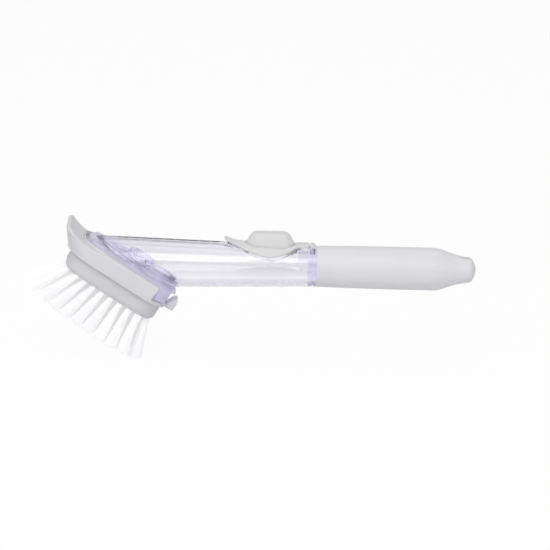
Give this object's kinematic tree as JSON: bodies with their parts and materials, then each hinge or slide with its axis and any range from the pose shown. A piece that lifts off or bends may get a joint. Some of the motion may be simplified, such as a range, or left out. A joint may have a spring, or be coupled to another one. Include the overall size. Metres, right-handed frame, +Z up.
{
  "type": "dish wand",
  "caption": "Soap-dispensing dish brush: clear tapered reservoir with a pump cap, grey grip with a hang hole, and a tilted swing-off head with a scraper nose and splayed bristles.",
  "frame": {"origin": "middle of the hang hole, on the wand's axis", "axes": "+X along the wand towards its tail, +Z up through the hang hole towards the thumb side, head at -X"},
  "size_m": [0.2388, 0.0476, 0.0731],
  "materials": {
    "clear_plastic": "clear moulded",
    "valve_silicone": "soft translucent",
    "grip_plastic": "satin moulded",
    "cap_silicone": "matt silicone",
    "tray_plastic": "satin moulded",
    "block_plastic": "satin moulded",
    "bristle_nylon": "drawn filament",
    "anchor_wire": "flat wire"
  },
  "bodies": {
    "wand": {"reservoir_tube": "clear_plastic", "base_plate": "clear_plastic", "outlet_valve": "valve_silicone", "valve_retainer": "clear_plastic", "grip_handle": "grip_plastic", "cap_anchor": "cap_silicone"},
    "cap": {"fill_cap": "cap_silicone", "dome_web": "cap_silicone"},
    "dome": {"pump_dome": "cap_silicone"},
    "head": {"head_tray": "tray_plastic", "bristle_block": "block_plastic", "tuft_row_1": "bristle_nylon", "tuft_row_2": "bristle_nylon", "tuft_row_3": "bristle_nylon", "tuft_row_4": "bristle_nylon", "tuft_row_5": "bristle_nylon", "tuft_row_6": "bristle_nylon", "tuft_row_7": "bristle_nylon", "tuft_anchors": "anchor_wire"},
    "paddle": {"release_paddle": "tray_plastic"}
  },
  "joints": [
    {"name": "cap_open", "type": "hinge", "parent": "wand", "child": "cap", "pos_m": [-0.084, 0, 0.01105], "axis": [0, 1, 0], "range_deg": [0, 100]},
    {"name": "dome_press", "type": "slide", "parent": "cap", "child": "dome", "axis": [0, 0, -1], "range_m": [0, 0.003], "stiffness_N_per_m": 300, "deforming": ["dome_web"]},
    {"name": "head_swing", "type": "hinge", "parent": "wand", "child": "head", "pos_m": [-0.20363, 0, 0.01151], "axis": [0, 1, 0], "range_deg": [0, 30]},
    {"name": "paddle_release", "type": "hinge", "parent": "head", "child": "paddle", "pos_m": [-0.15871, 0, -0.0227], "axis": [0, 1, 0], "range_deg": [0, 14], "stiffness_Nm_per_rad": 0.02}
  ]
}
